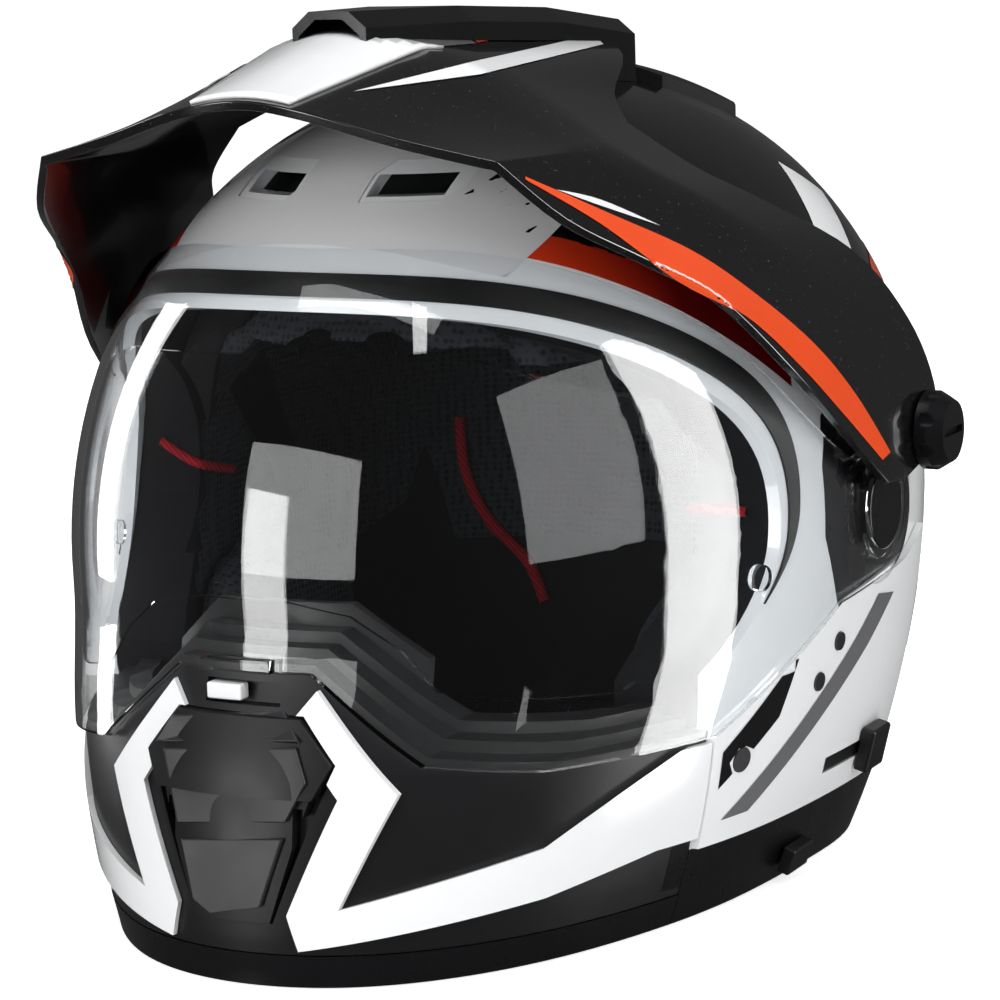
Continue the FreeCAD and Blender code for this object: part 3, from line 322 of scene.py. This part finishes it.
LONGEST_EDGE = 6  # in cells: a longer edge spans a gap between two nodes


def decal(name, outline, view, onto, material, lift=0.2, cell=4.0, twin=False):
    """A coat of colour laid on the nodes under an outline seen from one side, in millimetres, or
    in the photograph, in pixels. A twin is laid on the other side too."""
    tree = tree_for(onto)
    way = side_ray(view, *outline[0])[1]
    shape = bmesh.new()
    corners = [shape.verts.new((u, v, 0.0)) for u, v in outline]
    shape.faces.new(corners)
    for axis in (0, 1):
        low = min(pair[axis] for pair in outline)
        high = max(pair[axis] for pair in outline)
        steps = int((high - low) / cell)
        normal = Vector((1, 0, 0)) if axis == 0 else Vector((0, 1, 0))
        for step in range(1, steps + 1):
            place = normal * (low + (high - low) * step / (steps + 1))
            parts = shape.verts[:] + shape.edges[:] + shape.faces[:]
            bmesh.ops.bisect_plane(shape, geom=parts, plane_co=place, plane_no=normal)
    bmesh.ops.triangulate(shape, faces=shape.faces)
    lost = []
    for vertex in shape.verts:
        hit, normal, _, _ = tree.ray_cast(*side_ray(view, vertex.co.x, vertex.co.y))
        if hit is None:
            lost.append(vertex)
            continue
        if normal.dot(way) > 0:
            normal = -normal
        vertex.co = hit + normal * lift * MM
    bmesh.ops.delete(shape, geom=lost, context="VERTS")
    reach = LONGEST_EDGE * cell * MM
    long_edges = [edge for edge in shape.edges if edge.calc_length() > reach]
    bmesh.ops.delete(shape, geom=long_edges, context="EDGES")
    bmesh.ops.recalc_face_normals(shape, faces=shape.faces)
    outward = sum(face.normal.dot(way) for face in shape.faces)
    if outward > 0:
        bmesh.ops.reverse_faces(shape, faces=shape.faces)
    mesh = bpy.data.meshes.new(name)
    shape.to_mesh(mesh)
    if twin:
        for vertex in shape.verts:
            vertex.co.x = -vertex.co.x
        bmesh.ops.reverse_faces(shape, faces=shape.faces)
        other = bpy.data.meshes.new(name + "_twin")
        shape.to_mesh(other)
        new_piece(name + "_twin", other, HELMET, material)
    shape.free()
    return new_piece(name, mesh, HELMET, material)


def smooth_run(pairs, steps=6):
    """Points of a smooth curve through some pairs."""
    points = []
    for i in range(len(pairs) - 1):
        before, here = pairs[max(i - 1, 0)], pairs[i]
        after, beyond = pairs[i + 1], pairs[min(i + 2, len(pairs) - 1)]
        for step in range(steps):
            t = step / steps
            point = []
            for a, b, c, d in zip(before, here, after, beyond):
                point.append(0.5 * (2 * b + (c - a) * t + (2 * a - 5 * b + 4 * c - d) * t * t
                                    + (3 * b - a - 3 * c + d) * t ** 3))
            points.append(tuple(point))
    return points + [pairs[-1]]


def band_outline(inner, outer):
    """A closed outline between two smooth curves."""
    return smooth_run(inner) + list(reversed(smooth_run(outer)))


SHELL = ["outer_shell"]
COVER = ["side_cover_left", "side_cover_right"]
RED_INNER = [(-97, 214), (-78, 206), (-56, 193), (-36, 178), (-18, 163)]
RED_OUTER = [(-97, 222), (-74, 215), (-50, 202), (-28, 187), (-12, 176)]
BLACK_SIDE = [(-97, 222), (-74, 215), (-50, 202), (-28, 187), (-12, 176), (-12, 165), (4, 163),
              (40, 166), (66, 170), (96, 178), (124, 186), (140, 196), (130, 212), (104, 232),
              (70, 246), (30, 252), (-20, 250), (-58, 238), (-86, 228)]
for view, side in (("left", 1), ("right", -1)):
    decal("shell_red_band_" + view, band_outline(RED_INNER, RED_OUTER), view, SHELL, dark_red)
    decal("shell_black_side_" + view, BLACK_SIDE, view, SHELL, plain_black)
    decal("shell_white_flash_" + view, [(8, 168), (46, 172), (84, 214), (62, 226), (34, 190)], view,
          SHELL, white_gloss, 0.4)
    decal("shell_orange_flash_" + view, [(60, 172), (118, 188), (124, 198), (84, 190)], view, SHELL,
          orange, 0.4)
    decal("shell_rear_grey_" + view, [(70, 60), (84, 60), (140, 128), (150, 150), (132, 134)], view,
          SHELL, grey_gloss)
    decal("cover_grey_stripe_" + view, [(-62, 33), (-49, 33), (14, 74), (33, 88), (20, 90), (4, 78)],
          view, COVER, grey_gloss)
    decal("cover_black_corner_" + view, [(-66, 56), (-46, 71), (-30, 83), (-40, 62), (-66, 44)], view,
          COVER, plain_black)
    decal("chin_black_edge_" + view, [(-70.5, 29), (-78, 27), (-78, 13), (-70.5, 13)], view,
          ["chin_bar"], satin_black)

# The crown is black, and the white forehead between black cheeks gets a light grey band: painted shade
# where the peak overhangs it
decal("shell_black_crown", smooth_run([(-88, -30), (-70, -44), (-30, -44), (0, -46), (30, -44),
                                       (70, -44), (88, -30)]) + smooth_run(
    [(88, -30), (98, 10), (92, 60), (70, 104), (0, 128), (-70, 104), (-92, 60), (-98, 10), (-88, -30)]),
      "top", SHELL, plain_black, 0.3)
# Painted shade: the white brow under the peak drawn in light grey
decal("shell_brow_painted_shade", smooth_run([(-60, 205), (-30, 213), (0, 216), (30, 213), (60, 205)])
      + smooth_run([(60, 205), (66, 222), (52, 238), (24, 244), (0, 246), (-24, 244), (-52, 238),
                    (-66, 222), (-60, 205)]), "front", SHELL, brow_shade_grey, 0.3)

# Peak: smooth facets between the corners of its nose and the ends of its arms

PEAK_NET = [
    [(0, -148, 262), (0, -88, 278), (0, 34, 271)],
    [(22, -148, 259), (32, -80, 271), (40, 26, 267)],
    [(50, -143, 251), (60, -75, 258), (60, -18, 255)],
    [(79, -136, 244), (86, -78, 243), (72, -34, 247)],
    [(93, -120, 226), (95, -68, 235), (90, -22, 232)],
    [(106, -92, 211), (106, -45, 222), (104, -2, 220)],
    [(118, -68, 197), (118, -26, 206), (122, 28, 201)],
    [(131, -40, 170), (132, 0, 178), (135, 42, 178)],
    [(138, -3, 139), (139, 18, 152), (141, 50, 155)],
    [(141, 8, 129), (141, 24, 128), (141, 52, 134)],
]
CORNER = 3
PEAK_WALL = 3.0


def peak_rows():
    """Front, crease and rear points of each row, from one arm's end to the other's."""
    half = [tuple(value for point in row for value in point) for row in PEAK_NET]
    middle = [tuple(-v if i % 3 == 0 else v for i, v in enumerate(row)) for row in half[CORNER:0:-1]]
    nose = smooth_run(middle + half[:CORNER + 1], 5)
    arm = smooth_run(half[CORNER:], 5)
    other = [tuple(-v if i % 3 == 0 else v for i, v in enumerate(row)) for row in reversed(arm)]
    return other[:-1] + nose + arm[1:]


FRONT_CELLS, REAR_CELLS = 4, 5


def peak_mesh():
    """The outer face, with a wall of even thickness behind it."""
    shape = bmesh.new()
    grid = []
    for row in peak_rows():
        front, crease, rear = (Vector(row[i:i + 3]) * MM for i in (0, 3, 6))
        line = [front.lerp(crease, t / FRONT_CELLS) for t in range(FRONT_CELLS)]
        line += [crease.lerp(rear, t / REAR_CELLS) for t in range(REAR_CELLS + 1)]
        grid.append([shape.verts.new(point) for point in line])
    for here, after in zip(grid, grid[1:]):
        for j in range(len(here) - 1):
            shape.faces.new((here[j], after[j], after[j + 1], here[j + 1]))
    shape.normal_update()
    outer = list(shape.verts)
    inner = {vertex: shape.verts.new(vertex.co - vertex.normal * PEAK_WALL * MM) for vertex in outer}
    rim = [edge.verts[:] for edge in shape.edges if edge.is_boundary]
    faces = list(shape.faces)
    for face in faces:
        shape.faces.new([inner[vertex] for vertex in reversed(face.verts)])
    for a, b in rim:
        shape.faces.new((a, b, inner[b], inner[a]))
    bmesh.ops.recalc_face_normals(shape, faces=shape.faces)
    mesh = bpy.data.meshes.new("peak_roof")
    shape.to_mesh(mesh)
    shape.free()
    return mesh


def rounded_edges(piece, width=0.5, angle=28.0):
    """Soft moulded edges that catch the light."""
    piece.data.set_sharp_from_angle(angle=math.radians(angle))
    bevel = piece.modifiers.new("edges", "BEVEL")
    bevel.width, bevel.segments, bevel.limit_method = width * MM, 3, "ANGLE"
    bevel.angle_limit = math.radians(angle)
    bevel.harden_normals = True
    return piece


peak = rounded_edges(new_piece("peak_roof", peak_mesh(), HELMET, black_gloss))
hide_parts("peak")


def plate(piece, thick):
    """Thickens a thin piece inwards, in millimetres."""
    solid = piece.modifiers.new("thick", "SOLIDIFY")
    solid.thickness, solid.offset = thick * MM, -1.0
    return piece


PANEL = [(-17, -146), (17, -146), (28, -72), (15, -88), (-15, -88), (-28, -72)]
panel = plate(decal("peak_nose_panel", PANEL, "top", ["peak_roof"], white_gloss, 1.2), 1.1)
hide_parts("peak_centre_panel")
ROOF = ["peak_roof"]
decal("peak_grey_block", [(352, 42), (372, 53), (476, 44), (448, 26)], "photo", ROOF, grey_gloss,
      0.25, twin=True)
decal("peak_orange_block", [(449, 26), (504, 18), (517, 36), (478, 43)], "photo", ROOF, orange,
      0.25, twin=True)
decal("peak_white_line", [(354, 92), (474, 62), (605, 33), (607, 44), (480, 75)], "photo", ROOF,
      white_gloss, 0.3, twin=True)
STREAK_TOP = [(525, 177), (610, 214), (690, 250), (750, 290), (812, 342), (855, 394), (890, 452)]
STREAK_FOOT = [(525, 180), (600, 224), (680, 282), (745, 316), (798, 364), (843, 414), (882, 460)]
decal("peak_orange_streak", smooth_run(STREAK_TOP) + smooth_run(STREAK_FOOT[::-1]), "photo", ROOF,
      orange, 0.25, twin=True)
decal("peak_white_streak", smooth_run([(556, 190), (600, 200), (660, 226)])
      + smooth_run([(660, 226), (600, 206), (556, 190)]), "photo", ROOF, white_gloss, 0.3, twin=True)

# Relief of the chin vent's mask and the panels beside it

MASK = ["chin_vent_cover"]
for name, outline, lift, thick in (
        ("vent_mask_brow", [(176, 716), (284, 716), (300, 742), (160, 742)], 2.0, 1.8),
        ("vent_mask_plate", [(166, 748), (296, 748), (306, 784), (286, 822), (180, 822), (156, 784)],
         1.6, 1.4),
        ("vent_mask_scoop", [(184, 838), (284, 838), (262, 906), (212, 912), (196, 898)], 1.8, 1.6)):
    rounded_edges(plate(decal(name, outline, "photo", MASK, mask_black, lift, 400.0), thick),
                  0.6)

# Lining


def evaluated(piece):
    """The mesh of a piece with its modifiers worked out."""
    graph = bpy.context.evaluated_depsgraph_get()
    return bpy.data.meshes.new_from_object(piece.evaluated_get(graph))


DRAWN_IN, PRESSURE, CLOTH_FRAMES = 1.2, 4.0, 14
CHANNEL_REACH, CHANNEL_DEPTH = 5.0, 2.2


def soft_pad(node, name, material, cap=4.0, voxel=5.0, channels=(), cloth=True):
    """A cushion swollen from its solid by cloth simulation, with its sewn channels drawn in."""
    piece = new_piece(name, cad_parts[node].data.copy(), HELMET, material)
    remesh = piece.modifiers.new("remesh", "REMESH")
    remesh.mode, remesh.voxel_size = "VOXEL", voxel * MM
    mesh = evaluated(piece)
    piece.modifiers.clear()
    piece.data = mesh
    start = []
    for vertex in mesh.vertices:
        vertex.co = vertex.co - vertex.normal * DRAWN_IN * MM
        start.append(vertex.co.copy())
    if cloth:
        settings = piece.modifiers.new("cloth", "CLOTH")
        settings.settings.use_pressure = True
        settings.settings.uniform_pressure_force = PRESSURE
        settings.settings.effector_weights.gravity = 0.0
        for step in range(1, CLOTH_FRAMES + 1):
            bpy.context.scene.frame_set(step)
        swollen = evaluated(piece)
        piece.modifiers.clear()
        moves = [after.co - before for after, before in zip(swollen.vertices, start)]
        bpy.context.scene.frame_set(1)
        for vertex, before, move in zip(mesh.vertices, start, moves):
            if move.length > cap * MM:
                move = move.normalized() * cap * MM
            vertex.co = before + move
    for vertex in mesh.vertices:
        for place in channels:
            near = max(0.0, 1.0 - abs(vertex.co.x - place * MM) / (CHANNEL_REACH * MM))
            vertex.co = vertex.co - vertex.normal * CHANNEL_DEPTH * MM * near ** 2
    for face in mesh.polygons:
        face.use_smooth = True
    mesh.materials.clear()
    mesh.materials.append(material)
    smooth = piece.modifiers.new("smooth", "SMOOTH")
    smooth.iterations = 2
    piece.modifiers.new("finer", "SUBSURF").levels = 1
    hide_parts(node)
    return piece


soft_pad("crown_pad", "crown_cushion", mesh_black, 2.0, 4.0, (-34, -12, 12, 34))
soft_pad("brow_pad", "brow_cushion", mesh_black, 1.5, 3.0)
soft_pad("cheek_pad_left", "cheek_cushion_left", mesh_black, 3.0, 4.0)
soft_pad("cheek_pad_right", "cheek_cushion_right", mesh_black, 3.0, 4.0)
soft_pad("neck_roll", "neck_cushion", brushed, 1.5, 4.0)
soft_pad("chin_curtain", "chin_skirt", brushed, 0.5, 1.5, (), False)


LINING = [(-60, 96), (-40, 84), (0, 78), (60, 80), (92, 96), (110, 140), (96, 190), (50, 220),
          (0, 216), (-50, 190), (-62, 140)]
for view in ("inner_left", "inner_right"):
    decal("temple_lining_" + view[6:], LINING, view, ["eps_liner"], mesh_black, 0.6, 6.0)
decal("nape_lining", [(-70, 80), (70, 80), (84, 130), (70, 190), (0, 214), (-70, 190), (-84, 130)],
      "inner_rear", ["eps_liner"], mesh_black, 0.6, 6.0)


PIPING_LIFT = 0.8


def piping_cord(name, pixels, onto, radius=2.2):
    """A red piping tube sewn along the lining, through places in the photograph."""
    tree = tree_for(onto)
    spots = []
    for u, v in smooth_run(pixels, 5):
        hit, normal, _, _ = tree.ray_cast(*photo_ray(u, v))
        if hit is not None:
            spots.append(hit - photo_ray(u, v)[1] * PIPING_LIFT * MM)
    curve = bpy.data.curves.new(name, "CURVE")
    curve.dimensions = "3D"
    curve.bevel_depth, curve.bevel_resolution = radius * MM, 4
    line = curve.splines.new("POLY")
    line.points.add(len(spots) - 1)
    for point, place in zip(line.points, spots):
        point.co = (*place, 1.0)
    drawn = bpy.data.objects.new(name + "_path", curve)
    bpy.context.scene.collection.objects.link(drawn)
    mesh = evaluated(drawn)
    bpy.data.objects.remove(drawn)
    return new_piece(name, mesh, HELMET, piping)


INSIDE = ["eps_liner", "crown_cushion", "brow_cushion", "cheek_cushion_left", "cheek_cushion_right",
          "neck_cushion"]
piping_cord("piping_middle", [(460, 416), (466, 470), (490, 520), (528, 560), (546, 602)], INSIDE)
piping_cord("piping_right", [(158, 440), (195, 462), (230, 468)], INSIDE, 1.6)
piping_cord("piping_left", [(690, 508), (745, 512)], INSIDE, 1.6)


STRAP_RUN = [(107.0, 24.0), (106.6, 19.0), (98.0, 14.3), (72.0, 10.2), (44.0, 6.8)]
STRAP_HALF_WIDTH, STRAP_CELLS = 11.8, 8


def flat_strap(node, name, side, end):
    """Woven strap with thick selvedges, along the same path as its solid."""
    path = smooth_run(STRAP_RUN + [(end, STRAP_RUN[-1][1])])
    shape = bmesh.new()
    rows = []
    for x, z in path:
        row = []
        for j in range(STRAP_CELLS + 1):
            across = -1.0 + j / (STRAP_CELLS / 2)
            crown = 0.35 * (1.0 - across ** 8)
            row.append(shape.verts.new((side * x * MM, across * STRAP_HALF_WIDTH * MM, (z + crown) * MM)))
        rows.append(row)
    for here, after in zip(rows, rows[1:]):
        for j in range(STRAP_CELLS):
            shape.faces.new((here[j], after[j], after[j + 1], here[j + 1]))
    mesh = bpy.data.meshes.new(name)
    shape.to_mesh(mesh)
    shape.free()
    piece = new_piece(name, mesh, HELMET, webbing)
    solid = piece.modifiers.new("thick", "SOLIDIFY")
    solid.thickness, solid.offset = 1.2 * MM, 0.0
    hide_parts(node)
    return piece


flat_strap("strap_left", "webbing_left", 1, 26.0)
flat_strap("strap_right", "webbing_right", -1, -10.0)

# Light and floor

MIDDLE = (0.0, 0.0, 0.14)


def area_light(name, place, width, height, power, card=False):
    """A soft lamp aimed at the middle of the helmet. A card is seen only in reflections, and any
    other lamp lights the surfaces without one."""
    data = bpy.data.lights.new(name, "AREA")
    data.shape = "RECTANGLE"
    data.size, data.size_y, data.energy = width, height, power
    lamp = bpy.data.objects.new(name, data)
    lamp.location = place
    lamp.rotation_euler = (Vector(MIDDLE) - Vector(place)).to_track_quat("-Z", "Y").to_euler()
    bpy.context.scene.collection.objects.link(lamp)
    lamp.visible_diffuse = not card
    lamp.visible_glossy = card


area_light("overhead", (0.0, -0.3, 1.5), 1.2, 1.0, 20.0)
area_light("front_fill", (-0.3, -1.7, 0.45), 1.2, 0.8, 18.0)
area_light("side_fill", (1.5, -0.4, 0.6), 0.9, 1.1, 13.0)
area_light("rear", (0.4, 1.3, 0.9), 1.0, 0.8, 8.0)
area_light("card_right", (1.45, 0.35, 0.25), 0.46, 1.9, 30.0, card=True)
area_light("card_front", (-0.52, -1.4, 0.08), 0.36, 0.8, 8.0, card=True)
area_light("card_left", (-1.5, 0.1, 0.5), 0.3, 1.4, 10.0, card=True)
area_light("card_top", (0.3, -0.5, 1.6), 0.12, 1.2, 4.0, card=True)

# The backdrop is white where the camera sees it, straight or through the shield, and dim for the
# rest, also where a ray has turned back inside the shield's wall
world = bpy.data.worlds.new("studio")
bpy.context.scene.world = world
world.use_nodes = True
tree = world.node_tree
back = tree.nodes["Background"]
path = tree.nodes.new("ShaderNodeLightPath")
seen = tree.nodes.new("ShaderNodeMath")
seen.operation = "MAXIMUM"
tree.links.new(path.outputs["Is Camera Ray"], seen.inputs[0])
tree.links.new(path.outputs["Is Transmission Ray"], seen.inputs[1])
straight = tree.nodes.new("ShaderNodeMath")
straight.operation = "LESS_THAN"
straight.inputs[1].default_value = 0.5
tree.links.new(path.outputs["Glossy Depth"], straight.inputs[0])
shown = tree.nodes.new("ShaderNodeMath")
shown.operation = "MULTIPLY"
tree.links.new(seen.outputs[0], shown.inputs[0])
tree.links.new(straight.outputs[0], shown.inputs[1])
level = tree.nodes.new("ShaderNodeMapRange")
level.inputs["To Min"].default_value = 0.07
level.inputs["To Max"].default_value = 1.0
tree.links.new(shown.outputs[0], level.inputs["Value"])
tree.links.new(level.outputs["Result"], back.inputs["Strength"])
back.inputs["Color"].default_value = (1.0, 1.0, 1.0, 1.0)

FLOOR_RADIUS, FLOOR_DROP = 40.0, 0.0005
floor_mesh = bpy.data.meshes.new("floor")
floor_shape = bmesh.new()
bmesh.ops.create_circle(floor_shape, cap_ends=True, radius=FLOOR_RADIUS, segments=96)
floor_shape.to_mesh(floor_mesh)
floor_shape.free()
floor = bpy.data.objects.new("floor", floor_mesh)
floor.location.z = -FLOOR_DROP
bpy.context.scene.collection.objects.link(floor)
floor_nodes = Nodes("floor_paper")
floor_nodes.link(floor_nodes.mix(floor_nodes.noise(3.0), (0.86, 0.86, 0.86), (0.9, 0.9, 0.9)),
                 floor_nodes.shader.inputs["Base Color"])
floor_nodes.settle(Roughness=0.9, Specular_IOR_Level=0.1)
glow = floor_nodes.add("ShaderNodeEmission")
reach = floor_nodes.add("ShaderNodeVectorMath", operation="LENGTH")
floor_nodes.link(floor_nodes.place, reach.inputs[0])
floor_nodes.link(floor_nodes.ramp(reach.outputs["Value"], 0.3, 1.3, 0.7, 1.0), glow.inputs["Strength"])
summed = floor_nodes.add("ShaderNodeAddShader")
floor_path = floor_nodes.add("ShaderNodeLightPath")
chosen = floor_nodes.add("ShaderNodeMixShader")
floor_nodes.link(floor_nodes.shader.outputs["BSDF"], summed.inputs[0])
floor_nodes.link(glow.outputs["Emission"], summed.inputs[1])
floor_nodes.link(floor_path.outputs["Is Camera Ray"], chosen.inputs["Fac"])
floor_nodes.link(floor_nodes.shader.outputs["BSDF"], chosen.inputs[1])
floor_nodes.link(summed.outputs["Shader"], chosen.inputs[2])
floor_nodes.link(chosen.outputs["Shader"], floor_nodes.output.inputs["Surface"])
floor_mesh.materials.append(floor_nodes.material)
floor.visible_glossy = False
floor.visible_transmission = False
